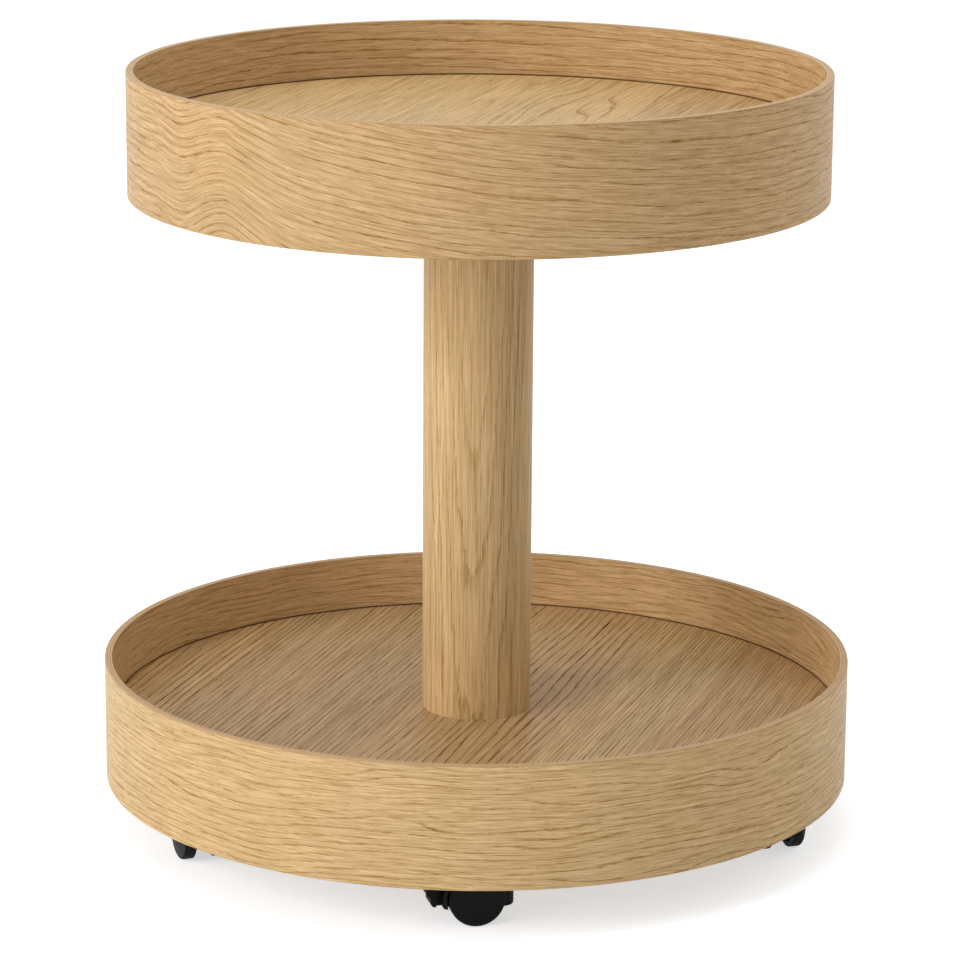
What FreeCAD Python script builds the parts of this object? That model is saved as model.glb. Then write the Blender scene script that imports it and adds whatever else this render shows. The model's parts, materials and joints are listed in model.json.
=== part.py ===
import FreeCAD, Part
import math
import os

# Rolling side table: two round trays on one post, on five twin-wheel castors.
# Lengths are in millimetres and +Z is up. The origin lies on the floor, below the middle of the post.
# The front of the table faces -Y. The castors are drawn turned as they stand at rest.

os.makedirs("parts", exist_ok=True)

# Trays: a bent rim of laminated oak, glued round a board
bottom_tray_diameter = 480.0
top_tray_diameter = 442.0
rim_height = 78.5
rim_thickness = 5.0
rim_edge_rounding = 0.8
space_between_trays = 300.5
tray_depth = 37.0
bottom_board_thickness = 22.0
top_board_thickness = 18.0
board_arris = 0.6
glue_line = 0.1

# Post: a veneered tube with a wooden plug glued into each end, let a little way into both boards
post_diameter = 70.0
post_wall = 6.0
post_arris = 0.6
post_let_in = 2.0
plug_length = 42.0
plug_arris = 1.0

# Tie rod through the post, with a weld nut on the top plate and a nut and washer below
rod_diameter = 8.0
rod_hole_clearance = 0.5
rod_chamfer = 1.0
rod_stick_out = 3.0
rod_end_gap = 0.5
thread_clearance = 0.05
nut_across_flats = 13.0
nut_height = 6.5
nut_chamfer = 0.8
nut_pocket_clearance = 1.5
washer_diameter = 30.0
washer_thickness = 2.0
washer_rounding = 0.4

# Top plate, and the screws that hold it under the top board
top_plate_margin = 2.0
top_plate_thickness = 3.0
top_plate_arris = 0.4
plate_recess_gap = 0.3
top_screw_margin = 8.0
top_screw_count = 4
top_screw_length = 15.0

# Countersunk wood screw
screw_shank_diameter = 3.5
screw_head_diameter = 7.2
screw_head_height = 1.8
screw_point_length = 3.0
screw_clearance = 0.1

# Dowels that keep the trays from turning on the post
dowel_diameter = 8.0
dowel_length = 30.0
dowel_in_board = 12.0
dowel_chamfer = 0.8
dowel_clearance = 0.1
dowel_margin = 4.8
dowel_count = 2
dowel_turn = 45.0

# Castors: the height that the bottom board stands at on them, the space left between the rim and a castor
# that swings round, and how each one trails at rest
castor_height = 53.0
castor_swing_gap = 3.0
first_castor_angle = -90.0
castor_turns = (190.0, 282.0, 236.0, 262.0, 287.0)
lockable_castors = (1, 3)

# Castor plate with a dish pressed into it for the king pin
castor_plate_width = 38.0
castor_plate_thickness = 2.0
castor_plate_corner = 6.0
castor_plate_arris = 0.3
castor_screw_spacing = 27.0
castor_screw_length = 14.0
dish_diameter = 23.0
dish_floor_diameter = 18.0
dish_depth = 2.0
dish_wall = 1.2

# King pin, riveted in the dish, and the spring ring that keeps the castor on it
king_pin_diameter = 8.0
king_pin_head_diameter = 12.5
king_pin_head_height = 1.6
king_pin_in_castor = 26.0
king_pin_chamfer = 0.8
rivet_clearance = 0.02
groove_depth = 0.9
groove_width = 1.6
groove_above_pin_end = 3.0
grip_ring_diameter = 9.4
grip_ring_thickness = 1.4
grip_ring_slit = 1.6
grip_ring_clearance = 0.05
ring_pocket_clearance = 0.3
swivel_gap = 0.5
running_clearance = 0.05
pin_end_clearance = 0.8

# Castor body: one moulding with a boss for the pin, a web between the wheels and a hood over them
castor_trail = 15.0
boss_diameter = 17.2
nose_reach = 10.4
nose_above_floor = 10.0
nose_foot_rounding = 2.5
neck_chamfer = 1.0
hood_gap = 1.3
hood_wall = 2.0
hood_width = 26.0
hood_front_rounding = 9.0
hood_corner_rounding = 4.0
hood_flare_start = 2.0
hood_flare_length = 5.0
hood_flare_rounding = 3.0
lip_above_floor = 12.0
lip_rounding = 0.8
web_above_floor = 9.5
web_foot_length = 15.0
web_foot_rounding = 2.0
web_gap = 0.5
tail_pocket_start = 6.5

# Wheels and axle
wheel_diameter = 35.0
wheel_width = 7.6
wheel_spacing = 20.8
wheel_shoulder_rounding = 1.8
wheel_inner_rounding = 0.7
wheel_dome_height = 0.9
wheel_dome_rounding = 28.0
wheel_dome_share = 0.45
wheel_face_thickness = 2.0
wheel_rim_wall = 3.0
hub_diameter = 10.5
hub_stand_out = 0.3
hub_rounding = 0.4
spoke_count = 6
spoke_thickness = 1.4
spoke_set_back = 1.0
axle_diameter = 5.0
axle_chamfer = 0.5
axle_end_gap = 0.4
axle_groove_width = 1.0
axle_groove_depth = 0.4
axle_groove_from_end = 1.2

# Brake lever of a lockable castor, on a cross pin between the wheels
lever_width = 8.4
lever_side_gap = 0.3
lever_reach = 10.2
pedal_above_floor = 12.0
arm_above_floor = 13.2
pedal_length = 11.4
pedal_width = 14.0
pedal_wing_length = 3.4
pedal_lip_reach = 2.5
pedal_lip_above_floor = 17.5
pedal_lip_rounding = 1.0
lever_top_above_floor = 25.5
lever_nose_above_floor = 21.0
lever_tip_rounding = 2.8
lever_rounding = 1.2
lever_pivot_out = 11.8
lever_pivot_above_floor = 26.5
lever_eye_diameter = 6.4
lever_pin_diameter = 2.5
lever_pin_end_gap = 0.1
lever_slot_top_gap = 1.2

# One overrun for every cut, and the shortest edge that an outline keeps
overrun = 2.0
shortest_edge = 0.001

# Levels and radii that follow from the sizes above
bottom_board_foot = castor_height
bottom_tray_floor = bottom_board_foot + bottom_board_thickness
bottom_rim_top = bottom_tray_floor + tray_depth
bottom_rim_foot = bottom_rim_top - rim_height
top_rim_foot = bottom_rim_top + space_between_trays
top_rim_top = top_rim_foot + rim_height
top_tray_floor = top_rim_top - tray_depth
top_board_foot = top_tray_floor - top_board_thickness
post_foot = bottom_tray_floor - post_let_in
post_top = top_board_foot + post_let_in
top_plate_foot = post_top - top_plate_thickness
castor_plate_foot = bottom_board_foot - castor_plate_thickness
dish_foot = castor_plate_foot - dish_depth
dish_floor = dish_foot + castor_plate_thickness
neck_top = dish_foot - swivel_gap
king_pin_end = neck_top - king_pin_in_castor
rod_radius = rod_diameter / 2
plug_radius = post_diameter / 2 - post_wall - glue_line
dowel_hole_radius = dowel_diameter / 2 + dowel_clearance
dowel_circle_radius = plug_radius - dowel_margin - dowel_hole_radius
top_plate_radius = post_diameter / 2 - post_wall - top_plate_margin
top_screw_circle_radius = top_plate_radius - top_screw_margin
king_pin_radius = king_pin_diameter / 2
boss_radius = boss_diameter / 2
wheel_radius = wheel_diameter / 2
hood_inner_radius = wheel_radius + hood_gap
hood_outer_radius = hood_inner_radius + hood_wall
hood_top = wheel_radius + hood_outer_radius
hood_tail = castor_trail + hood_outer_radius
castor_swing = math.hypot(hood_tail, hood_width / 2)
castor_circle_radius = bottom_tray_diameter / 2 - rim_thickness - castor_swing_gap - castor_swing
wheel_inner_face = wheel_spacing / 2 - wheel_width / 2
web_half_width = wheel_inner_face - web_gap
hub_depth = wheel_width - wheel_face_thickness
pocket_half_width = lever_width / 2 + lever_side_gap


def vector(x, y, z):
    return FreeCAD.Vector(x, y, z)


ORIGIN = vector(0, 0, 0)
ALONG_X = vector(1, 0, 0)
ALONG_Y = vector(0, 1, 0)
UP = vector(0, 0, 1)
QUARTER_TURN = 90.0
FULL_TURN = 360.0


def side_view(a, b):
    """A point of an outline that is drawn from the side, in X and Z."""
    return vector(a, 0, b)


def plan_view(a, b):
    """A point of an outline that is drawn from above, in X and Y."""
    return vector(a, b, 0)


def rounded_face(corners, view):
    """A flat face inside corners (a, b, rounding), where an arc of its own radius rounds each corner."""
    points = [view(a, b) for a, b, rounding in corners]
    count = len(corners)
    starts = []
    middles = []
    ends = []
    for index in range(count):
        here = points[index]
        rounding = corners[index][2]
        to_last = (points[index - 1] - here).normalize()
        to_next = (points[(index + 1) % count] - here).normalize()
        half_angle = to_last.getAngle(to_next) / 2
        reach = rounding / math.tan(half_angle)
        starts.append(here + to_last * reach)
        ends.append(here + to_next * reach)
        if rounding > 0:
            inwards = (to_last + to_next).normalize()
            middles.append(here + inwards * (rounding / math.sin(half_angle) - rounding))
        else:
            middles.append(here)
    edges = []
    for index in range(count):
        if corners[index][2] > 0:
            edges.append(Part.Arc(starts[index], middles[index], ends[index]).toShape())
        next_start = starts[(index + 1) % count]
        if ends[index].distanceToPoint(next_start) > shortest_edge:
            edges.append(Part.LineSegment(ends[index], next_start).toShape())
    return Part.Face(Part.Wire(edges))


def turned(corners):
    """A solid turned about the Z axis from corners (radius, height, rounding)."""
    return rounded_face(corners, side_view).revolve(ORIGIN, UP, FULL_TURN)


def side_plate(corners, half_width):
    """An outline drawn from the side, made solid from -half_width to half_width along Y."""
    face = rounded_face(corners, side_view).translated(vector(0, -half_width, 0))
    return face.extrude(vector(0, half_width + half_width, 0))


def plan_plate(corners, foot, top):
    """An outline drawn from above, made solid from foot to top."""
    face = rounded_face(corners, plan_view).translated(vector(0, 0, foot))
    return face.extrude(vector(0, 0, top - foot))


def upright_bar(x, y, foot, top, radius):
    return Part.makeCylinder(radius, top - foot, vector(x, y, foot), UP)


def cross_bar(x, z, first, last, radius):
    """A round bar along Y, from first to last."""
    return Part.makeCylinder(radius, last - first, vector(x, first, z), ALONG_Y)


def on_circle(radius, count, first_angle):
    """Places (x, y) spaced evenly on a circle about the Z axis."""
    places = []
    for index in range(count):
        angle = math.radians(first_angle + index * FULL_TURN / count)
        places.append((radius * math.cos(angle), radius * math.sin(angle)))
    return places


def group(shape, places):
    """Copies of one shape at several places, as separate solids of one group."""
    return Part.Compound([shape.translated(vector(x, y, 0)) for x, y in places])


# Trays

def rim(tray_diameter, foot):
    outer = tray_diameter / 2
    inner = outer - rim_thickness
    top = foot + rim_height
    return turned((
        (inner, foot, rim_edge_rounding),
        (outer, foot, rim_edge_rounding),
        (outer, top, rim_edge_rounding),
        (inner, top, rim_edge_rounding),
    ))


def board_blank(tray_diameter, foot, floor):
    """A round board with a small arris round its upper edge, which leaves a fine line against the rim."""
    edge = tray_diameter / 2 - rim_thickness - glue_line
    return turned((
        (0, foot, 0),
        (edge, foot, 0),
        (edge, floor - board_arris, 0),
        (edge - board_arris, floor, 0),
        (0, floor, 0),
    ))


def post_housing(foot, top):
    """The shallow round housing in a board that takes the end of the post."""
    return upright_bar(0, 0, foot, top, post_diameter / 2 + glue_line)


def dowel_places():
    return on_circle(dowel_circle_radius, dowel_count, dowel_turn)


def dowel_holes(foot, top):
    return [upright_bar(x, y, foot, top, dowel_hole_radius) for x, y in dowel_places()]


def screw_pilots(places, foot, length):
    """Pilot holes for screws whose heads lie at foot."""
    radius = screw_shank_diameter / 2 + screw_clearance
    top = foot + length + screw_clearance
    return [upright_bar(x, y, foot - overrun, top, radius) for x, y in places]


def bottom_board():
    blank = board_blank(bottom_tray_diameter, bottom_board_foot, bottom_tray_floor)
    rod_hole_radius = rod_radius + rod_hole_clearance
    rod_hole = upright_bar(0, 0, bottom_board_foot - overrun, bottom_tray_floor + overrun, rod_hole_radius)
    dowel_ends = post_foot - dowel_in_board - dowel_clearance
    cuts = [rod_hole, post_housing(post_foot, bottom_tray_floor + overrun)]
    cuts += dowel_holes(dowel_ends, bottom_tray_floor + overrun)
    cuts += screw_pilots(castor_screw_places(), castor_plate_foot, castor_screw_length)
    return blank.cut(cuts)


def top_board():
    blank = board_blank(top_tray_diameter, top_board_foot, top_tray_floor)
    cuts = [post_housing(top_board_foot - overrun, post_top)]
    cuts += dowel_holes(top_board_foot - overrun, post_top + dowel_in_board + dowel_clearance)
    cuts += screw_pilots(top_screw_places(), top_plate_foot, top_screw_length)
    return blank.cut(cuts)


# Post and what it holds

def post():
    radius = post_diameter / 2
    bore = radius - post_wall
    return turned((
        (bore, post_foot, 0),
        (radius, post_foot, post_arris),
        (radius, post_top, post_arris),
        (bore, post_top, 0),
    ))


def plug_blank(foot):
    """A wooden plug, glued into the post, with the rod's hole through it."""
    top = foot + plug_length
    hole = rod_radius + rod_hole_clearance
    return turned((
        (hole, foot, 0),
        (plug_radius, foot, plug_arris),
        (plug_radius, top, plug_arris),
        (hole, top, 0),
    ))


def post_bottom_plug():
    dowel_ends = post_foot + dowel_length - dowel_in_board + dowel_clearance
    return plug_blank(post_foot).cut(dowel_holes(post_foot - overrun, dowel_ends))


def post_top_plug():
    top = top_plate_foot - plate_recess_gap
    dowel_ends = post_top + dowel_in_board - dowel_length - dowel_clearance
    nut_pocket_radius = nut_across_flats / 2 / math.cos(math.pi / 6) + nut_pocket_clearance
    nut_pocket_foot = top_plate_foot - nut_height - nut_pocket_clearance
    nut_pocket = upright_bar(0, 0, nut_pocket_foot, top + overrun, nut_pocket_radius)
    return plug_blank(top - plug_length).cut([nut_pocket] + dowel_holes(dowel_ends, top + overrun))


def dowels(foot):
    radius = dowel_diameter / 2
    dowel = turned((
        (0, foot, 0),
        (radius - dowel_chamfer, foot, 0),
        (radius, foot + dowel_chamfer, 0),
        (radius, foot + dowel_length - dowel_chamfer, 0),
        (radius - dowel_chamfer, foot + dowel_length, 0),
        (0, foot + dowel_length, 0),
    ))
    return group(dowel, dowel_places())


def tie_rod():
    foot = bottom_board_foot - washer_thickness - nut_height - rod_stick_out
    top = post_top - rod_end_gap
    return turned((
        (0, foot, 0),
        (rod_radius - rod_chamfer, foot, 0),
        (rod_radius, foot + rod_chamfer, 0),
        (rod_radius, top - rod_chamfer, 0),
        (rod_radius - rod_chamfer, top, 0),
        (0, top, 0),
    ))


def hexagon_nut(foot):
    """A nut with chamfered corners: a hexagonal bar inside a turned blank."""
    apothem = nut_across_flats / 2
    corner = apothem / math.cos(math.pi / 6)
    top = foot + nut_height
    corners = [(x, y, 0) for x, y in on_circle(corner, 6, 0)]
    blank = turned((
        (rod_radius + thread_clearance, foot, 0),
        (apothem, foot, 0),
        (corner, foot + nut_chamfer, 0),
        (corner, top - nut_chamfer, 0),
        (apothem, top, 0),
        (rod_radius + thread_clearance, top, 0),
    ))
    return plan_plate(corners, foot, top).common(blank)


def washer():
    hole = rod_radius + rod_hole_clearance
    radius = washer_diameter / 2
    foot = bottom_board_foot - washer_thickness
    return turned((
        (hole, foot, 0),
        (radius, foot, washer_rounding),
        (radius, bottom_board_foot, 0),
        (hole, bottom_board_foot, 0),
    ))


def wood_screw(foot, length):
    """A countersunk wood screw that points up, with its head at foot."""
    head = screw_head_diameter / 2
    shank = screw_shank_diameter / 2
    return turned((
        (0, foot, 0),
        (head, foot, 0),
        (shank, foot + screw_head_height, 0),
        (shank, foot + length - screw_point_length, 0),
        (0, foot + length, 0),
    ))


def countersinks(places, foot, thickness):
    """Countersunk holes for such screws through a plate."""
    head = screw_head_diameter / 2 + screw_clearance
    shank = screw_shank_diameter / 2 + screw_clearance
    hole = turned((
        (0, foot - overrun, 0),
        (head, foot - overrun, 0),
        (head, foot, 0),
        (shank, foot + screw_head_height, 0),
        (shank, foot + thickness + overrun, 0),
        (0, foot + thickness + overrun, 0),
    ))
    return [hole.translated(vector(x, y, 0)) for x, y in places]


def top_screw_places():
    return on_circle(top_screw_circle_radius, top_screw_count, 0)


def top_plate():
    """A round steel plate with the rod's nut welded under it."""
    hole = rod_radius + thread_clearance
    plate = turned((
        (hole, top_plate_foot, 0),
        (top_plate_radius, top_plate_foot, top_plate_arris),
        (top_plate_radius, post_top, top_plate_arris),
        (hole, post_top, 0),
    ))
    nut = hexagon_nut(top_plate_foot - nut_height)
    cuts = dowel_holes(top_plate_foot - overrun, post_top + overrun)
    cuts += countersinks(top_screw_places(), top_plate_foot, top_plate_thickness)
    return plate.cut(cuts).fuse(nut).removeSplitter()


# Castors, each drawn with its king pin on the Z axis and its wheels trailing towards +X

def castor_places():
    return on_circle(castor_circle_radius, castor_count(), first_castor_angle)


def castor_count():
    return len(castor_turns)


def placed(shape, index):
    """A castor's piece, turned and moved to its place under the bottom board."""
    x, y = castor_places()[index]
    return shape.rotated(ORIGIN, UP, castor_turns[index]).translated(vector(x, y, 0))


def plate_screw_places():
    half = castor_screw_spacing / 2
    return [(half, half), (-half, half), (-half, -half), (half, -half)]


def castor_screw_places():
    places = []
    for x, y in castor_places():
        places += [(x + dx, y + dy) for dx, dy in turned_places(plate_screw_places(), x, y)]
    return places


def turned_places(places, x, y):
    """Places turned so that a castor plate's side faces the middle of the table."""
    angle = math.atan2(y, x)
    cosine = math.cos(angle)
    sine = math.sin(angle)
    return [(a * cosine - b * sine, a * sine + b * cosine) for a, b in places]


def castor_plate(index):
    half = castor_plate_width / 2
    corner = castor_plate_corner
    plate = plan_plate((
        (half, half, corner),
        (-half, half, corner),
        (-half, -half, corner),
        (half, -half, corner),
    ), castor_plate_foot, bottom_board_foot)
    wide = dish_diameter / 2
    narrow = dish_floor_diameter / 2
    hole = king_pin_radius + rivet_clearance
    dish = turned((
        (0, dish_foot, 0),
        (narrow, dish_foot, castor_plate_arris),
        (wide, castor_plate_foot, 0),
        (0, castor_plate_foot, 0),
    ))
    hollow = turned((
        (0, dish_floor, 0),
        (narrow - dish_wall, dish_floor, 0),
        (wide - dish_wall, bottom_board_foot, 0),
        (0, bottom_board_foot, 0),
    ))
    cuts = [hollow, upright_bar(0, 0, dish_foot - overrun, bottom_board_foot, hole)]
    cuts += countersinks(plate_screw_places(), castor_plate_foot, castor_plate_thickness)
    plate = plate.fuse(dish).cut(cuts).removeSplitter()
    x, y = castor_places()[index]
    angle = math.degrees(math.atan2(y, x))
    return plate.rotated(ORIGIN, UP, angle).translated(vector(x, y, 0))


def king_pin():
    head = king_pin_head_diameter / 2
    groove_foot = king_pin_end + groove_above_pin_end
    groove_radius = king_pin_radius - groove_depth
    head_top = dish_floor + king_pin_head_height
    return turned((
        (0, king_pin_end, 0),
        (king_pin_radius - king_pin_chamfer, king_pin_end, 0),
        (king_pin_radius, king_pin_end + king_pin_chamfer, 0),
        (king_pin_radius, groove_foot, 0),
        (groove_radius, groove_foot, 0),
        (groove_radius, groove_foot + groove_width, 0),
        (king_pin_radius, groove_foot + groove_width, 0),
        (king_pin_radius, dish_floor, 0),
        (head, dish_floor, 0),
        (head, head_top, king_pin_chamfer),
        (0, head_top, 0),
    ))


def grip_ring_foot():
    return king_pin_end + groove_above_pin_end + (groove_width - grip_ring_thickness) / 2


def grip_ring():
    """A split spring ring, seated in the king pin's groove."""
    foot = grip_ring_foot()
    top = foot + grip_ring_thickness
    inner = king_pin_radius - groove_depth + grip_ring_clearance
    outer = grip_ring_diameter / 2
    ring = turned(((inner, foot, 0), (outer, foot, 0), (outer, top, 0), (inner, top, 0)))
    half_slit = grip_ring_slit / 2
    slit_corner = vector(0, -half_slit, foot - overrun)
    slit = Part.makeBox(outer + overrun, grip_ring_slit, grip_ring_thickness + overrun + overrun, slit_corner)
    return ring.cut(slit)


def hood_block():
    """The moulding's outer form: its side outline and its plan outline in one."""
    side = side_plate((
        (-nose_reach, nose_above_floor, nose_foot_rounding),
        (-nose_reach, hood_top, hood_front_rounding),
        (hood_tail, hood_top, hood_outer_radius),
        (hood_tail, lip_above_floor, lip_rounding),
        (castor_trail + hood_inner_radius, lip_above_floor, 0),
        (castor_trail + web_foot_length / 2, web_above_floor, web_foot_rounding),
        (castor_trail - web_foot_length / 2, web_above_floor, web_foot_rounding),
        (0, nose_above_floor, 0),
    ), hood_width)
    half = hood_width / 2
    flare_end = hood_flare_start + hood_flare_length
    plan = plan_plate((
        (-nose_reach, -boss_radius, boss_radius),
        (hood_flare_start, -boss_radius, hood_flare_rounding),
        (flare_end, -half, hood_flare_rounding),
        (hood_tail, -half, hood_corner_rounding),
        (hood_tail, half, hood_corner_rounding),
        (flare_end, half, hood_flare_rounding),
        (hood_flare_start, boss_radius, hood_flare_rounding),
        (-nose_reach, boss_radius, boss_radius),
    ), 0, neck_top)
    return side.common(plan)


def neck():
    """The boss carried on above the hood, up to the swivel gap."""
    foot = nose_above_floor + nose_foot_rounding
    return turned((
        (0, foot, 0),
        (boss_radius, foot, 0),
        (boss_radius, neck_top - neck_chamfer, 0),
        (boss_radius - neck_chamfer, neck_top, 0),
        (0, neck_top, 0),
    ))


def wheel_wells():
    """The two spaces under the hood in which the wheels turn."""
    last = hood_width / 2 + overrun
    right = cross_bar(castor_trail, wheel_radius, web_half_width, last, hood_inner_radius)
    left = cross_bar(castor_trail, wheel_radius, -last, -web_half_width, hood_inner_radius)
    return [right, left]


def tail_pocket():
    """The hollow in the web behind the axle, open below, that follows the hood's inner face."""
    start = castor_trail + tail_pocket_start
    width = pocket_half_width + pocket_half_width
    corner = vector(start, -pocket_half_width, 0)
    block = Part.makeBox(hood_inner_radius, width, hood_top, corner)
    inside = cross_bar(castor_trail, wheel_radius, -pocket_half_width, pocket_half_width, hood_inner_radius)
    skirt = Part.makeBox(hood_inner_radius - tail_pocket_start, width, wheel_radius, corner)
    return block.common(inside).fuse(skirt)


def king_pin_bore():
    """The bore with the wider pocket for the grip ring."""
    bore = king_pin_radius + running_clearance
    pocket = grip_ring_diameter / 2 + ring_pocket_clearance
    foot = king_pin_end - pin_end_clearance
    pocket_foot = grip_ring_foot() - ring_pocket_clearance
    pocket_top = grip_ring_foot() + grip_ring_thickness + ring_pocket_clearance
    return turned((
        (0, foot, 0),
        (bore, foot, 0),
        (bore, pocket_foot, 0),
        (pocket, pocket_foot, 0),
        (pocket, pocket_top, 0),
        (bore, pocket_top, 0),
        (bore, neck_top + overrun, 0),
        (0, neck_top + overrun, 0),
    ))


def lever_slot():
    """The slot in the hood's lip through which a brake lever comes out."""
    start = castor_trail + tail_pocket_start
    top = lever_top_above_floor + lever_slot_top_gap
    width = pocket_half_width + pocket_half_width
    return Part.makeBox(hood_outer_radius, width, top, vector(start, -pocket_half_width, 0))


def castor_body(lockable):
    axle_hole = axle_diameter / 2 + rivet_clearance
    lever_hole = lever_pin_diameter / 2 + rivet_clearance
    cuts = wheel_wells() + [king_pin_bore(), tail_pocket()]
    cuts.append(cross_bar(castor_trail, wheel_radius, -hood_width, hood_width, axle_hole))
    if lockable:
        cuts.append(lever_slot())
        pivot = castor_trail + lever_pivot_out
        cuts.append(cross_bar(pivot, lever_pivot_above_floor, -hood_width, hood_width, lever_hole))
    return hood_block().fuse(neck()).cut(cuts).removeSplitter()


def axle():
    """The steel axle, with a groove near each end for the wheel's hub to snap into."""
    radius = axle_diameter / 2
    end = wheel_inner_face + hub_depth - axle_end_gap
    groove_end = end - axle_groove_from_end
    groove_start = groove_end - axle_groove_width
    groove_radius = radius - axle_groove_depth
    half = [
        (groove_start, radius),
        (groove_start, groove_radius),
        (groove_end, groove_radius),
        (groove_end, radius),
        (end - axle_chamfer, radius),
        (end, radius - axle_chamfer),
        (end, 0),
    ]
    lower = [(r, -along, 0) for along, r in reversed(half)]
    upper = [(r, along, 0) for along, r in half]
    bar = turned(lower + upper)
    return bar.rotated(ORIGIN, ALONG_X, -QUARTER_TURN).translated(vector(castor_trail, 0, wheel_radius))


def wheel(side):
    """A moulded wheel with a closed domed face outside, and a rim, spokes and a hub inside."""
    bore = axle_diameter / 2 + running_clearance
    hub = hub_diameter / 2
    rim_inside = wheel_radius - wheel_rim_wall
    face = wheel_width + wheel_dome_height
    disc = turned((
        (bore, -hub_stand_out, 0),
        (hub, -hub_stand_out, hub_rounding),
        (hub, hub_depth, 0),
        (rim_inside, hub_depth, 0),
        (rim_inside, 0, 0),
        (wheel_radius, 0, wheel_inner_rounding),
        (wheel_radius, wheel_width, wheel_shoulder_rounding),
        (wheel_radius * wheel_dome_share, face, wheel_dome_rounding),
        (0, face, 0),
        (0, hub_depth, 0),
        (bore, hub_depth, 0),
    ))
    start = (bore + hub) / 2
    length = wheel_radius - wheel_rim_wall / 2 - start
    half = spoke_thickness / 2
    depth = wheel_width - wheel_face_thickness / 2 - spoke_set_back
    spoke = Part.makeBox(length, spoke_thickness, depth, vector(start, -half, spoke_set_back))
    spokes = [spoke.rotated(ORIGIN, UP, index * FULL_TURN / spoke_count) for index in range(spoke_count)]
    solid = disc.fuse(spokes).removeSplitter()
    solid = solid.rotated(ORIGIN, ALONG_X, -side * QUARTER_TURN)
    return solid.translated(vector(castor_trail, side * wheel_inner_face, wheel_radius))


def brake_lever():
    """A lever with its eye on the cross pin, an arm through the hood's slot and a pedal behind the wheels."""
    eye = lever_eye_diameter / 2
    pivot = castor_trail + lever_pivot_out
    tip = castor_trail + wheel_radius + lever_reach
    heel = tip - pedal_length
    lip = tip + pedal_lip_reach
    lip_top = pedal_lip_above_floor + pedal_lip_reach
    pedal_end = (
        (lip, lever_top_above_floor, pedal_lip_rounding),
        (lip, lip_top, pedal_lip_rounding),
        (tip, pedal_lip_above_floor, pedal_lip_rounding),
        (tip, pedal_above_floor, lever_tip_rounding),
    )
    arm = side_plate((
        (pivot - eye, lever_pivot_above_floor + eye, eye),
        (pivot + eye / 2, lever_pivot_above_floor + eye, lever_rounding),
        (castor_trail + wheel_radius - hood_gap, lever_top_above_floor, lever_rounding),
    ) + pedal_end + (
        (heel, pedal_above_floor, lever_rounding),
        (heel - lever_rounding, arm_above_floor, 0),
        (pivot - eye, lever_nose_above_floor, lever_rounding),
    ), lever_width / 2)
    wing_start = tip - pedal_wing_length
    wing = side_plate(pedal_end + (
        (wing_start, pedal_above_floor, 0),
        (wing_start, lever_top_above_floor, 0),
    ), pedal_width / 2)
    lever = arm.fuse(wing).removeSplitter()
    hole_radius = lever_pin_diameter / 2 + running_clearance
    return lever.cut(cross_bar(pivot, lever_pivot_above_floor, -lever_width, lever_width, hole_radius))


def lever_pin():
    half = web_half_width - lever_pin_end_gap
    pivot = castor_trail + lever_pivot_out
    return cross_bar(pivot, lever_pivot_above_floor, -half, half, lever_pin_diameter / 2)


def table_pieces():
    return {
        "top_rim": rim(top_tray_diameter, top_rim_foot),
        "top_board": top_board(),
        "bottom_rim": rim(bottom_tray_diameter, bottom_rim_foot),
        "bottom_board": bottom_board(),
        "post": post(),
        "post_top_plug": post_top_plug(),
        "post_bottom_plug": post_bottom_plug(),
        "post_top_dowels": dowels(post_top + dowel_in_board - dowel_length),
        "post_bottom_dowels": dowels(post_foot - dowel_in_board),
        "top_plate": top_plate(),
        "top_plate_screws": group(wood_screw(top_plate_foot, top_screw_length), top_screw_places()),
        "tie_rod": tie_rod(),
        "tie_rod_washer": washer(),
        "tie_rod_nut": hexagon_nut(bottom_board_foot - washer_thickness - nut_height),
        "castor_screws": group(wood_screw(castor_plate_foot, castor_screw_length), castor_screw_places()),
    }


def castor_pieces(index):
    number = index + 1
    lockable = number in lockable_castors
    pieces = {
        "plate": castor_plate(index),
        "king_pin": placed(king_pin(), index),
        "grip_ring": placed(grip_ring(), index),
        "body": placed(castor_body(lockable), index),
        "axle": placed(axle(), index),
        "left_wheel": placed(wheel(1), index),
        "right_wheel": placed(wheel(-1), index),
    }
    if lockable:
        pieces["brake_lever"] = placed(brake_lever(), index)
        pieces["lever_pin"] = placed(lever_pin(), index)
    return {"castor_%d_%s" % (number, name): shape for name, shape in pieces.items()}


pieces = table_pieces()
for castor in range(castor_count()):
    pieces.update(castor_pieces(castor))

for name, shape in pieces.items():
    shape.exportStep("parts/%s.step" % name)
    print("%-26s %2d solids, valid %s" % (name, len(shape.Solids), shape.isValid()))
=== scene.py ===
import json
import math

import bpy
from mathutils import Matrix, Vector


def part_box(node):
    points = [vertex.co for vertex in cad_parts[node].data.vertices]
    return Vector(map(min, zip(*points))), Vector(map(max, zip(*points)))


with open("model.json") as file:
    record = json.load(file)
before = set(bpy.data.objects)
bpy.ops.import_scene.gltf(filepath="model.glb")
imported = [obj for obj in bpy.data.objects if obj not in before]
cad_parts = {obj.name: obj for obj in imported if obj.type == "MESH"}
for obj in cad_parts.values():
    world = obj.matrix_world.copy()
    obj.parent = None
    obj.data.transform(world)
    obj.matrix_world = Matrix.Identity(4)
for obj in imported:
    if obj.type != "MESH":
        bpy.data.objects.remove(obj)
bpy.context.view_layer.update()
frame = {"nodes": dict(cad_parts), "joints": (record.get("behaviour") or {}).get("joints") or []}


# The view: a long lens to the left of the table's front, well above the upper tray.
# It looks down at the middle of the table, so that both tray floors show.
camera_place = Vector((-0.1713, -2.506, 0.8683))
camera_turn_right = math.radians(3.948)
camera_tilt_down = math.radians(14.364)
camera_roll = math.radians(0.372)
camera_lens = 151.6
camera_reach = 50.0

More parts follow.
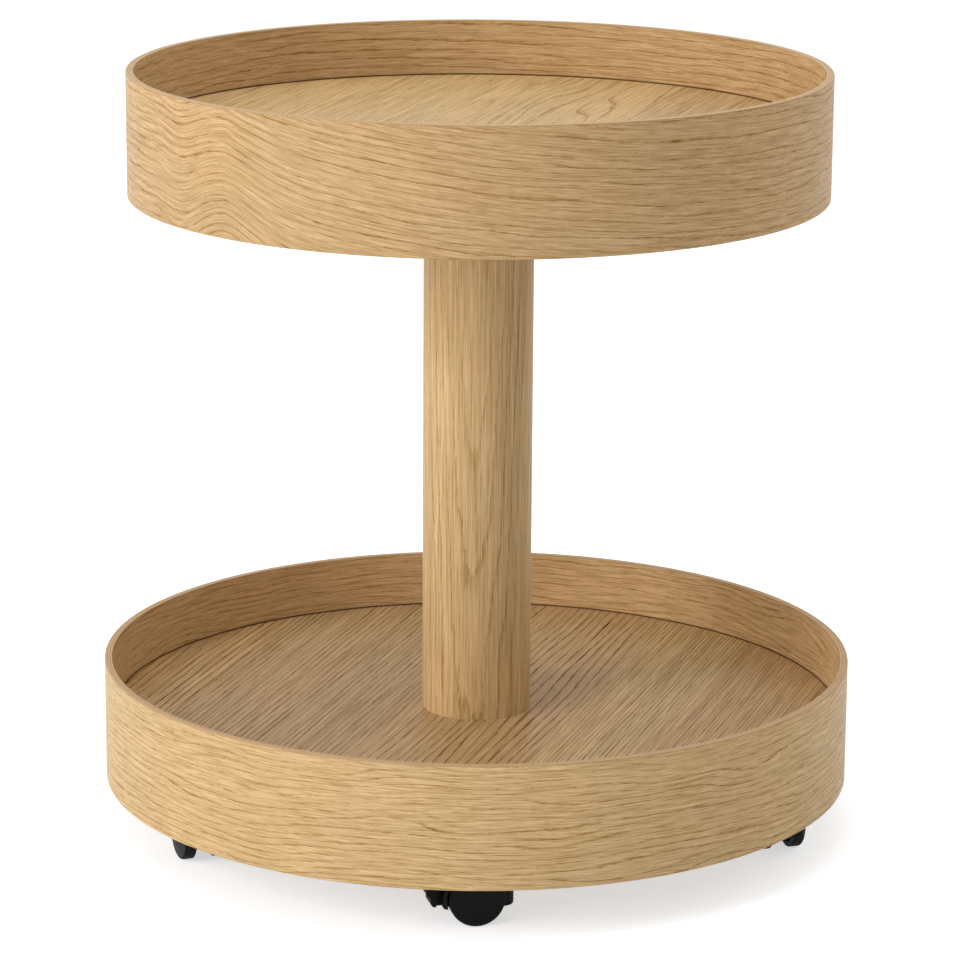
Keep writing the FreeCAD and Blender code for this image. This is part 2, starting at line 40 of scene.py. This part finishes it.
camera_data = bpy.data.cameras.new("view")
camera_data.lens = camera_lens
camera_data.clip_end = camera_reach
camera = bpy.data.objects.new("view", camera_data)
bpy.context.scene.collection.objects.link(camera)
turned_right = Matrix.Rotation(-camera_turn_right, 4, "Z")
tilted_down = Matrix.Rotation(math.radians(90.0) - camera_tilt_down, 4, "X")
rolled = Matrix.Rotation(camera_roll, 4, "Z")
camera.matrix_world = Matrix.Translation(camera_place) @ turned_right @ tilted_down @ rolled
bpy.context.scene.camera = camera
bpy.context.scene.view_settings.view_transform = "Standard"


# The room: a white floor and white surroundings, with a large soft lamp at the left and weak ones elsewhere.
# What the camera and shiny surfaces see of it is plain white, and the floor still takes the table's shadow.
floor_size = 30.0
floor_paint = (0.82, 0.82, 0.82, 1.0)
floor_lift = 0.6
room_white = (1.0, 1.0, 1.0, 1.0)
room_light = 0.55
lamp_aim = Vector((0.0, 0.0, 0.3))


class Signal:
    """A number or a colour that varies over a surface. Arithmetic on signals adds the nodes it needs."""

    def __init__(self, finish, socket):
        self.finish = finish
        self.socket = socket

    def math(self, operation, first, second=0.0):
        return self.finish.node("ShaderNodeMath", {"operation": operation}, {0: first, 1: second})

    def __add__(self, other):
        return self.math("ADD", self, other)

    def __radd__(self, other):
        return self.math("ADD", other, self)

    def __sub__(self, other):
        return self.math("SUBTRACT", self, other)

    def __rsub__(self, other):
        return self.math("SUBTRACT", other, self)

    def __mul__(self, other):
        return self.math("MULTIPLY", self, other)

    def __rmul__(self, other):
        return self.math("MULTIPLY", other, self)

    def __truediv__(self, other):
        return self.math("DIVIDE", self, other)

    def __rtruediv__(self, other):
        return self.math("DIVIDE", other, self)

    def __neg__(self):
        return self.math("MULTIPLY", self, -1.0)

    def __abs__(self):
        return self.math("ABSOLUTE", self)

    def above(self, other):
        """1 where the signal is greater than other, and 0 elsewhere."""
        return self.math("GREATER_THAN", self, other)

    def at_least(self, other):
        return self.math("MAXIMUM", self, other)

    def remainder(self):
        return self.math("FRACT", self)

    def whole(self):
        return self.math("FLOOR", self)

    def root(self):
        return self.math("SQRT", self)

    def exponential(self):
        return self.math("EXPONENT", self)

    def angle_over(self, other):
        """The angle in radians whose tangent is the signal over other."""
        return self.math("ARCTAN2", self, other)

    def step_up(self, low, high):
        """0 below low, 1 above high, and a smooth rise between them."""
        settings = {"interpolation_type": "SMOOTHSTEP"}
        sockets = {0: self, 1: low, 2: high, 3: 0.0, 4: 1.0}
        return self.finish.node("ShaderNodeMapRange", settings, sockets)


class Finish:
    """A material or the room's world being made: node adds a node, sets it, and sets or links its sockets."""

    def __init__(self, name, kind="materials"):
        self.made = getattr(bpy.data, kind).new(name)
        self.made.use_nodes = True
        self.tree = self.made.node_tree
        self.tree.nodes.clear()

    def node(self, kind, settings=None, sockets=None, output=0):
        added = self.tree.nodes.new(kind)
        for key, value in (settings or {}).items():
            setattr(added, key, value)
        for key, value in (sockets or {}).items():
            if isinstance(value, Signal):
                self.tree.links.new(value.socket, added.inputs[key])
            else:
                added.inputs[key].default_value = value
        return Signal(self, added.outputs[output])

    def place(self):
        """The three coordinates of a point of the piece, in metres."""
        spot = self.node("ShaderNodeTexCoord", output="Object")
        return [self.node("ShaderNodeSeparateXYZ", {}, {0: spot}, axis) for axis in range(3)]

    def noise(self, x, y, z, detail=2.0, roughness=0.5):
        """Smooth noise about 0, mostly between -0.5 and 0.5, whose blobs are 1 unit of x, y and z wide."""
        spot = self.node("ShaderNodeCombineXYZ", {}, {0: x, 1: y, 2: z})
        sockets = {"Vector": spot, "Scale": 1.0, "Detail": detail, "Roughness": roughness}
        return self.node("ShaderNodeTexNoise", {}, sockets) - 0.5

    def mix(self, share, first, second, blend="MIX"):
        """A colour between first and second."""
        settings = {"data_type": "RGBA", "blend_type": blend}
        return self.node("ShaderNodeMix", settings, {0: share, 6: first, 7: second}, 2)

    def choose(self, share, first, second):
        """A number between first and second."""
        return self.node("ShaderNodeMix", {"data_type": "FLOAT"}, {0: share, 2: first, 3: second})

    def end(self, shader, kind="ShaderNodeOutputMaterial"):
        """Links the finished shader to the output, and gives the material or world."""
        self.tree.links.new(shader.socket, self.tree.nodes.new(kind).inputs[0])
        return self.made


def seen_directly(finish):
    """1 for what the camera, a mirror or a pane sees, and 0 for what only lights other things."""
    camera_ray = finish.node("ShaderNodeLightPath", output="Is Camera Ray")
    mirrored_ray = finish.node("ShaderNodeLightPath", output="Is Glossy Ray")
    refracted_ray = finish.node("ShaderNodeLightPath", output="Is Transmission Ray")
    return (camera_ray + mirrored_ray + refracted_ray).step_up(0.0, 1.0)


def lamp(name, place, size, watts):
    """A square soft lamp that faces the table."""
    data = bpy.data.lights.new(name, "AREA")
    data.size = size
    data.energy = watts
    made = bpy.data.objects.new(name, data)
    bpy.context.scene.collection.objects.link(made)
    facing = (lamp_aim - Vector(place)).to_track_quat("-Z", "Y").to_matrix().to_4x4()
    made.matrix_world = Matrix.Translation(place) @ facing


bpy.ops.object.select_all(action="DESELECT")
bpy.ops.mesh.primitive_plane_add(size=floor_size)
floor = bpy.context.object
floor.name = "room_floor"
paint = Finish("floor_paint")
matt = paint.node("ShaderNodeBsdfDiffuse", {}, {"Color": floor_paint})
lift = paint.node("ShaderNodeEmission", {}, {"Strength": seen_directly(paint) * floor_lift})
floor.data.materials.append(paint.end(paint.node("ShaderNodeAddShader", {}, {0: matt, 1: lift})))

walls = Finish("room", "worlds")
strength = seen_directly(walls) * (1.0 - room_light) + room_light
glow = walls.node("ShaderNodeBackground", {}, {"Color": room_white, "Strength": strength})
bpy.context.scene.world = walls.end(glow, "ShaderNodeOutputWorld")

lamp("left_lamp", (-2.6, -1.5, 1.3), 1.8, 59.0)
lamp("right_lamp", (2.4, 0.9, 1.6), 1.2, 8.0)
lamp("upper_lamp", (-0.2, -0.2, 2.6), 1.4, 14.0)


# The trays' rims: bands of thin oak plies, bent round and glued, with lacquered oak veneer on both faces.
# Year rings cross the sliced veneer as ragged dark lines, with fine streaks and short pores along its fibres.
# The plies show on the upper edge. The upper rim's outer veneer has a knot's wave left of the front.
oak_light = (0.578, 0.370, 0.176, 1.0)
oak_olive = (0.530, 0.350, 0.167, 1.0)
# Painted shade: a dark brown line in the gap where each rim meets its board, and how fully it covers the
# veneer.
gap_shade_brown = (0.090, 0.036, 0.008, 1.0)
gap_shade_share = 0.9
untinted = (1.0, 1.0, 1.0, 1.0)

# The sizes of the veneer's marks, as blobs per metre along its fibres and across them.
ragged_rates = (170.0, 1500.0)
streak_rates = (16.0, 400.0)
fibre_rates = (45.0, 1350.0)
pore_rates = (200.0, 2100.0)
tone_rates = (2.5, 14.0)
slow_rates = (4.0, 30.0)
wander_rates = (20.0, 100.0)

# How far the marks move a ring, in rings, and how strongly they shade the veneer.
ragged_rings = 0.30
slow_rings = 4.0
wander_rings = 1.2
streak_depth = 0.32
fibre_depth = 1.35
pore_depth = 0.16

# A dark line rises where a ring begins, then fades. Its strength changes from ring to ring and along it.
line_rise = 0.05
line_fade = 0.68
line_rate_by_ring = 0.77
line_rate_along = 5.0
line_contrast = 2.2
line_level = 0.7

# Pores lie closer together along the lines and the streaks, and are dull dips in the lacquer.
pore_low = 0.1
pore_high = 0.24
pores_by_line = 0.14
pores_by_streak = 0.3

# The tone turns from light to olive. Shade moves red, green and blue by these depths from these levels.
tone_contrast = 2.2
tone_level = 0.45
shade_colours = ((1.0, 1.02), (1.2, 1.02), (1.7, 1.03))

lacquer_roughness = 0.45
pore_dullness = 0.18
bare_dullness = 0.5
lacquer_shine = 0.15
pore_dip = 0.0001
pore_relief = 0.3


def grain(finish, spot, rates, detail=2.0, roughness=0.5):
    """Noise at a spot (along the fibres, aside, across them), drawn out along the fibres."""
    along, aside, across = spot
    lengthwise, crosswise = rates
    return finish.noise(along * lengthwise, aside * lengthwise, across * crosswise, detail, roughness)


def drift(finish, spot, rate):
    """The wandering of the year rings, in rings."""
    slow = grain(finish, spot, slow_rates, detail=3.0)
    wander = grain(finish, spot, wander_rates, detail=3.0)
    return slow * (slow_rings * rate) + wander * (wander_rings * rate)


def oak(finish, spot, figure, tint=untinted, ring_depth=0.37, vivid=0.95):
    """Oak's colour and its pores. Figure counts year rings: each ring ends at a whole number."""
    along, aside, across = spot
    rings = figure + grain(finish, spot, ragged_rates, detail=1.0) * ragged_rings
    ring = rings.remainder()
    by_ring = rings.whole() * line_rate_by_ring
    change = finish.noise(by_ring, along * line_rate_along, aside * line_rate_along)
    strength = (change * line_contrast + line_level).step_up(0.0, 1.0)
    line = (1.0 - ring).step_up(line_fade, 1.0) * ring.step_up(0.0, line_rise) * strength
    streaks = grain(finish, spot, streak_rates, roughness=0.6)
    fibres = grain(finish, spot, fibre_rates, roughness=0.75)
    pore = grain(finish, spot, pore_rates, detail=1.0) + line * pores_by_line + streaks * pores_by_streak
    pore = pore.step_up(pore_low, pore_high)
    olive = (grain(finish, spot, tone_rates) * tone_contrast + tone_level).step_up(0.0, 1.0)
    tinted = finish.mix(1.0, finish.mix(olive, oak_light, oak_olive), tint, "MULTIPLY")
    shade = (streaks * streak_depth + fibres * fibre_depth) * vivid - line * ring_depth - pore * pore_depth
    shares = {channel: shade * depth + level for channel, (depth, level) in enumerate(shade_colours)}
    return finish.mix(1.0, tinted, finish.node("ShaderNodeCombineColor", {}, shares), "MULTIPLY"), pore


def lacquered(finish, colour, pore, bare=0.0):
    """Satin lacquer over a veneer's colour, duller and lower in the pores, and dullest where bare is 1."""
    relief = {"Strength": pore_relief, "Distance": pore_dip, "Height": 1.0 - pore}
    roughness = lacquer_roughness + pore * pore_dullness + bare * bare_dullness
    sockets = {"Base Color": colour, "Roughness": roughness, "Specular IOR Level": lacquer_shine,
               "Normal": finish.node("ShaderNodeBump", {}, relief)}
    return finish.end(finish.node("ShaderNodeBsdfPrincipled", {}, sockets))


nodes = frame["nodes"]


def dress(names, material):
    """Gives CAD nodes a finish."""
    for name in names:
        slots = nodes[name].data.materials
        slots.clear()
        slots.append(material)


# The rims' measures. The plies show below the top edge, and a line of painted shade lies in the gap at the
# tray's floor.
rim_thickness = 0.005
tray_depth = 0.037
ply_thickness = 0.00165
ply_edge = (0.68, 0.46, 0.240, 1.0)
ply_line = (0.31, 0.18, 0.082, 1.0)
ply_seam = (0.22, 0.42)
ply_seam_share = 0.75
end_grain_rates = (30.0, 900.0)
end_grain_share = 0.35
face_blur = 0.0003
plies_begin = 0.0009
plies_full = 0.0004
# Where the painted shade in the gap between rim and board begins, fades and ends, above the tray's floor.
gap_shade_begin = -0.0003
gap_shade_fade = 0.0007
gap_shade_end = 0.0011
rim_drift = 0.9


class RimPlace:
    """A point of a rim, with shares for the rim's inside, its upper edge and the painted shade in its joint
    with the board.
    """

    def __init__(self, finish, name):
        low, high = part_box(name)
        outer = (high.x - low.x) / 2.0
        middle = outer - rim_thickness / 2.0
        tray_floor = high.z - tray_depth
        self.x, self.y, self.z = finish.place()
        self.radius = (self.x * self.x + self.y * self.y).root()
        self.inside = 1.0 - self.radius.step_up(middle - face_blur, middle + face_blur)
        self.edge = self.z.step_up(high.z - plies_begin, high.z - plies_full)
        rise = self.z.step_up(tray_floor + gap_shade_begin, tray_floor)
        fall = self.z.step_up(tray_floor + gap_shade_fade, tray_floor + gap_shade_end)
        # Painted shade in the gap where the rim's inner face meets the board.
        self.joint = self.inside * rise * (1.0 - fall)
        self.plies = (outer - self.radius) / ply_thickness


def dress_rim(finish, name, place, height, figure, tint, inner_painted_shade):
    """Veneer on both faces, the inner one darkened by painted shade, plies on the upper edge and painted
    shade in the gap where the rim meets its board.
    """
    # The inner face takes painted shade in place of the outer face's tint.
    tint_with_inner_shade = finish.mix(place.inside, tint, inner_painted_shade)
    colour, pore = oak(finish, (place.x, place.y, height), figure, tint_with_inner_shade)
    seam = abs(place.plies.remainder() - 0.5).step_up(*ply_seam)
    end_grain = grain(finish, (place.x, place.y, place.radius), end_grain_rates) + 0.5
    plies = finish.mix(seam * ply_seam_share, ply_edge, ply_line)
    plies = finish.mix(end_grain * end_grain_share, plies, ply_line)
    colour = finish.mix(place.edge, colour, plies)
    # Painted shade in the gap at the tray's floor, where the lacquer is also duller.
    colour = finish.mix(place.joint * gap_shade_share, colour, gap_shade_brown)
    dress([name], lacquered(finish, colour, pore, place.joint))


# Past the upper rim's wave the rings sink towards the right. At it they rise in a hump, with a dip before it.
upper_ring = 0.0054
upper_tint = (0.99, 0.99, 1.0, 1.0)
# The upper rim's inner face is darkened by painted shade.
upper_inner_painted_shade = (0.93, 0.935, 0.955, 1.0)
upper_radius = 0.221
wave_turn = -0.811
sink = 0.051
sink_length = 0.19
hump = 0.011
hump_width = 0.030
hump_faded = 0.75
hump_fade_heights = (0.40, 0.50)
dip = 0.006
dip_place = -0.042
dip_width = 0.021


def hill(distance, width):
    """1 where distance is 0, falling away smoothly over a width."""
    share = distance / width
    return (-(share * share)).exponential()


veneer = Finish("bent_oak_upper")
place = RimPlace(veneer, "top_rim")
past_wave = (place.x.angle_over(-place.y) - wave_turn) * upper_radius
sunk = (1.0 - (-(past_wave.at_least(0.0) / sink_length)).exponential()) * sink
humped = hill(past_wave, hump_width) * hump * (1.0 - place.z.step_up(*hump_fade_heights) * hump_faded)
dipped = hill(past_wave - dip_place, dip_width) * dip
height = place.z + (sunk - humped + dipped) * (1.0 - place.inside)
figure = height / upper_ring + drift(veneer, (place.x, place.y, height), rim_drift)
dress_rim(veneer, "top_rim", place, height, figure, upper_tint, upper_inner_painted_shade)

# The lower rim's rings only swell and thin along it.
lower_ring = 0.0045
lower_tint = (1.07, 1.12, 1.14, 1.0)
# The lower rim's inner face is darkened by painted shade.
lower_inner_painted_shade = (0.99, 1.00, 1.03, 1.0)
swell_rates = (9.0, 26.0)
swell_rings = 5.0

veneer = Finish("bent_oak_lower")
place = RimPlace(veneer, "bottom_rim")
spot = (place.x, place.y, place.z)
swell = grain(veneer, spot, swell_rates, detail=1.0) * swell_rings
figure = place.z / lower_ring + drift(veneer, spot, rim_drift) + swell
dress_rim(veneer, "bottom_rim", place, place.z, figure, lower_tint, lower_inner_painted_shade)


# The trays' floors: boards glued inside the rims, faced with leaves of oak laid side by side.
# Some leaves are cut straight through the rings, and others lie flat on them, so their rings wander.
grain_turn = math.radians(68.3)
# How wide the painted shade is at the board's edge, in the gap where it meets its rim.
board_gap_shade_width = 0.0008
leaf_step = 0.37
leaf_stretch = 0.4
leaf_wander_along = 4.5
leaf_wander_across = 30.0
leaf_vivid = 1.35
lower_ring_depth = 0.75
upper_ring_depth = 0.45

# Each leaf: where it begins across the grain, its rings' spacing, how many rings they wander by, and its tint
lower_leaves = (
    (-0.300, 0.0056, 3.0, (0.99, 1.02, 1.02, 1.0)),
    (-0.180, 0.0040, 1.5, (0.90, 0.93, 0.99, 1.0)),
    (-0.040, 0.0062, 2.6, (0.95, 0.95, 0.97, 1.0)),
    (0.066, 0.0029, 1.0, (1.01, 1.06, 1.03, 1.0)),
    (0.136, 0.0025, 1.0, (0.89, 0.88, 0.88, 1.0)),
)
upper_leaves = (
    (-0.300, 0.0036, 1.0, (1.12, 1.18, 1.16, 1.0)),
    (-0.150, 0.0032, 1.0, (1.09, 1.12, 1.08, 1.0)),
    (-0.030, 0.0120, 6.5, (1.07, 1.08, 1.04, 1.0)),
    (0.078, 0.0040, 2.5, (0.93, 0.94, 0.93, 1.0)),
    (0.160, 0.0030, 1.0, (0.90, 0.92, 0.92, 1.0)),
)


def dress_board(name, leaves, ring_depth):
    """Leaves of veneer side by side, and painted shade in the gap where the board meets its rim."""
    finish = Finish("leaves_of_" + name)
    x, y, z = finish.place()
    along = x * math.cos(grain_turn) + y * math.sin(grain_turn)
    across = x * math.sin(grain_turn) - y * math.cos(grain_turn)
    leaf = 0.0
    rings_per_metre = 0.0
    wander = 0.0
    tint = untinted
    for number, (begin, leaf_ring, leaf_wander, leaf_tint) in enumerate(leaves, 1):
        begun = across.above(begin)
        leaf = finish.choose(begun, leaf, leaf_step * number)
        rings_per_metre = finish.choose(begun, rings_per_metre, 1.0 / leaf_ring)
        wander = finish.choose(begun, wander, leaf_wander)
        tint = finish.mix(begun, tint, leaf_tint)
    wandering = finish.noise(along * leaf_wander_along, leaf, across * leaf_wander_across, detail=1.0)
    figure = across * rings_per_metre + wandering * wander
    spot = (along * leaf_stretch, leaf, across + leaf)
    colour, pore = oak(finish, spot, figure, tint, ring_depth, leaf_vivid)
    low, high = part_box(name)
    edge = (high.x - low.x) / 2.0
    # Painted shade in the gap at the board's edge.
    joint = (x * x + y * y).root().step_up(edge - board_gap_shade_width, edge - board_gap_shade_width / 2.0)
    colour = finish.mix(joint * gap_shade_share, colour, gap_shade_brown)
    dress([name], lacquered(finish, colour, pore, joint))


dress_board("bottom_board", lower_leaves, lower_ring_depth)
dress_board("top_board", upper_leaves, upper_ring_depth)


# The post: a tube wrapped in oak veneer with upright grain, whose long arches point down at the front.
# The veneer's two edges meet at the back. Plain turned plugs and dowels inside join the post to the boards.
post_radius = 0.035
post_ring = 0.0052
post_ring_depth = 0.25
post_drift = 0.55
post_stretch = 0.5
post_slice = 0.3
post_tint = (1.085, 1.14, 1.16, 1.0)
arch_turn = -0.1
arch_depth = 0.03
arch_lean = 0.05
plain_ring = 0.003
plain_drift = 1.0

veneer = Finish("post_oak")
x, y, z = veneer.place()
turn = x.angle_over(-y)
around = turn * post_radius
beside_arch = (turn - arch_turn) * post_radius
into_arch = arch_depth - z * arch_lean
arches = (beside_arch * beside_arch + into_arch * into_arch).root()
figure = arches / post_ring + drift(veneer, (z, post_slice, around), post_drift)
spot = (z * post_stretch, post_slice, around)
colour, pore = oak(veneer, spot, figure, post_tint, post_ring_depth)
dress(["post"], lacquered(veneer, colour, pore))

plain = Finish("plain_wood")
x, y, z = plain.place()
spot = (z, y, x)
colour, pore = oak(plain, spot, x / plain_ring + drift(plain, spot, plain_drift))
turned_pieces = ["post_top_plug", "post_bottom_plug", "post_top_dowels", "post_bottom_dowels"]
dress(turned_pieces, lacquered(plain, colour, pore))


# The castors' mouldings: black nylon bodies with a hood over the wheels, and the brake levers of two of them.
# Nylon leaves the mould with a fine satin skin, a little cloudy where it filled last.
nylon_dark = (0.0034, 0.0033, 0.0030, 1.0)
nylon_pale = (0.0054, 0.0053, 0.0049, 1.0)
nylon_roughness = 0.5
nylon_cloud_dullness = 0.2
nylon_shine = 0.1
nylon_cloud_rate = 60.0
nylon_skin_rate = 2200.0
nylon_skin_relief = 0.15
skin_depth = 0.0001


def mottle(finish, place, rate, detail):
    """Noise with round blobs, so many of them per metre."""
    x, y, z = place
    return finish.noise(x * rate, y * rate, z * rate, detail)


def skin(finish, place, rate, relief):
    """The fine unevenness of a moulded or plated surface."""
    height = mottle(finish, place, rate, detail=2.0)
    return finish.node("ShaderNodeBump", {}, {"Strength": relief, "Distance": skin_depth, "Height": height})


def nylon(finish, place):
    """The colour, roughness and skin of black nylon."""
    cloud = mottle(finish, place, nylon_cloud_rate, detail=3.0)
    colour = finish.mix(cloud + 0.5, nylon_dark, nylon_pale)
    roughness = cloud * nylon_cloud_dullness + nylon_roughness
    return colour, roughness, skin(finish, place, nylon_skin_rate, nylon_skin_relief)


def moulded(finish, colour, roughness, uneven):
    """Nylon with its soft shine."""
    sockets = {"Base Color": colour, "Roughness": roughness, "Normal": uneven,
               "Specular IOR Level": nylon_shine}
    return finish.end(finish.node("ShaderNodeBsdfPrincipled", {}, sockets))


moulding = Finish("black_nylon")
black_nylon = moulded(moulding, *nylon(moulding, moulding.place()))
dress([name for name in nodes if name.endswith(("_body", "_brake_lever"))], black_nylon)


# The wheels: five pairs moulded in the same nylon, which run on steel axles.
# The floor has rubbed their treads dull, and dust makes them a little paler.
wheel_radius = 0.0175
tread_depth = 0.0012
tread_dust = (0.0085, 0.0082, 0.0074, 1.0)
tread_dullness = 0.25
scuff_rate = 300.0
scuff_level = 0.55


def from_axle(place, centre, axis):
    """How far a place is from an axle, in metres."""
    offsets = [here - middle for here, middle in zip(place, centre)]
    along = offsets[0] * axis[0] + offsets[1] * axis[1] + offsets[2] * axis[2]
    straight = offsets[0] * offsets[0] + offsets[1] * offsets[1] + offsets[2] * offsets[2]
    return (straight - along * along).root()


def dress_wheels(castor, axle):
    """Both wheels of a castor, worn and dusty on their treads, which are what is farthest from the axle."""
    finish = Finish("nylon_wheels_" + castor)
    place = finish.place()
    colour, roughness, uneven = nylon(finish, place)
    tread = from_axle(place, axle["pos_m"], axle["axis"]).step_up(wheel_radius - tread_depth, wheel_radius)
    scuffs = mottle(finish, place, scuff_rate, detail=3.0) + scuff_level
    worn = tread * scuffs.step_up(0.0, 1.0)
    colour = finish.mix(worn, colour, tread_dust)
    worn_nylon = moulded(finish, colour, roughness + worn * tread_dullness, uneven)
    dress([castor + "_left_wheel", castor + "_right_wheel"], worn_nylon)


for joint in frame["joints"]:
    if joint["name"].endswith("_left_wheel_spin"):
        dress_wheels(joint["name"].removesuffix("_left_wheel_spin"), joint)


# The steel pieces: castor plates, king pins, rings, axles, lever pins and screws, and the rod with its plate.
# All are zinc plated, which leaves a pale, slightly mottled and softly shining skin.
zinc_dark = (0.43, 0.44, 0.45, 1.0)
zinc_pale = (0.60, 0.60, 0.59, 1.0)
zinc_contrast = 1.4
zinc_roughness = 0.36
zinc_cloud_dullness = 0.25
zinc_cloud_rate = 160.0
zinc_spangle_rate = 900.0
zinc_spangle_relief = 0.1

zinc = Finish("zinc_plated_steel")
place = zinc.place()
cloud = mottle(zinc, place, zinc_cloud_rate, detail=4.0)
plating = {
    "Base Color": zinc.mix(cloud * zinc_contrast + 0.5, zinc_dark, zinc_pale),
    "Metallic": 1.0,
    "Roughness": cloud * zinc_cloud_dullness + zinc_roughness,
    "Normal": skin(zinc, place, zinc_spangle_rate, zinc_spangle_relief),
}
zinc_steel = zinc.end(zinc.node("ShaderNodeBsdfPrincipled", {}, plating))
castor_steel = ("_plate", "_king_pin", "_grip_ring", "_axle", "_lever_pin", "_screws")
rod_steel = ("_rod", "_washer", "_nut")
dress([name for name in nodes if name.endswith(castor_steel + rod_steel)], zinc_steel)
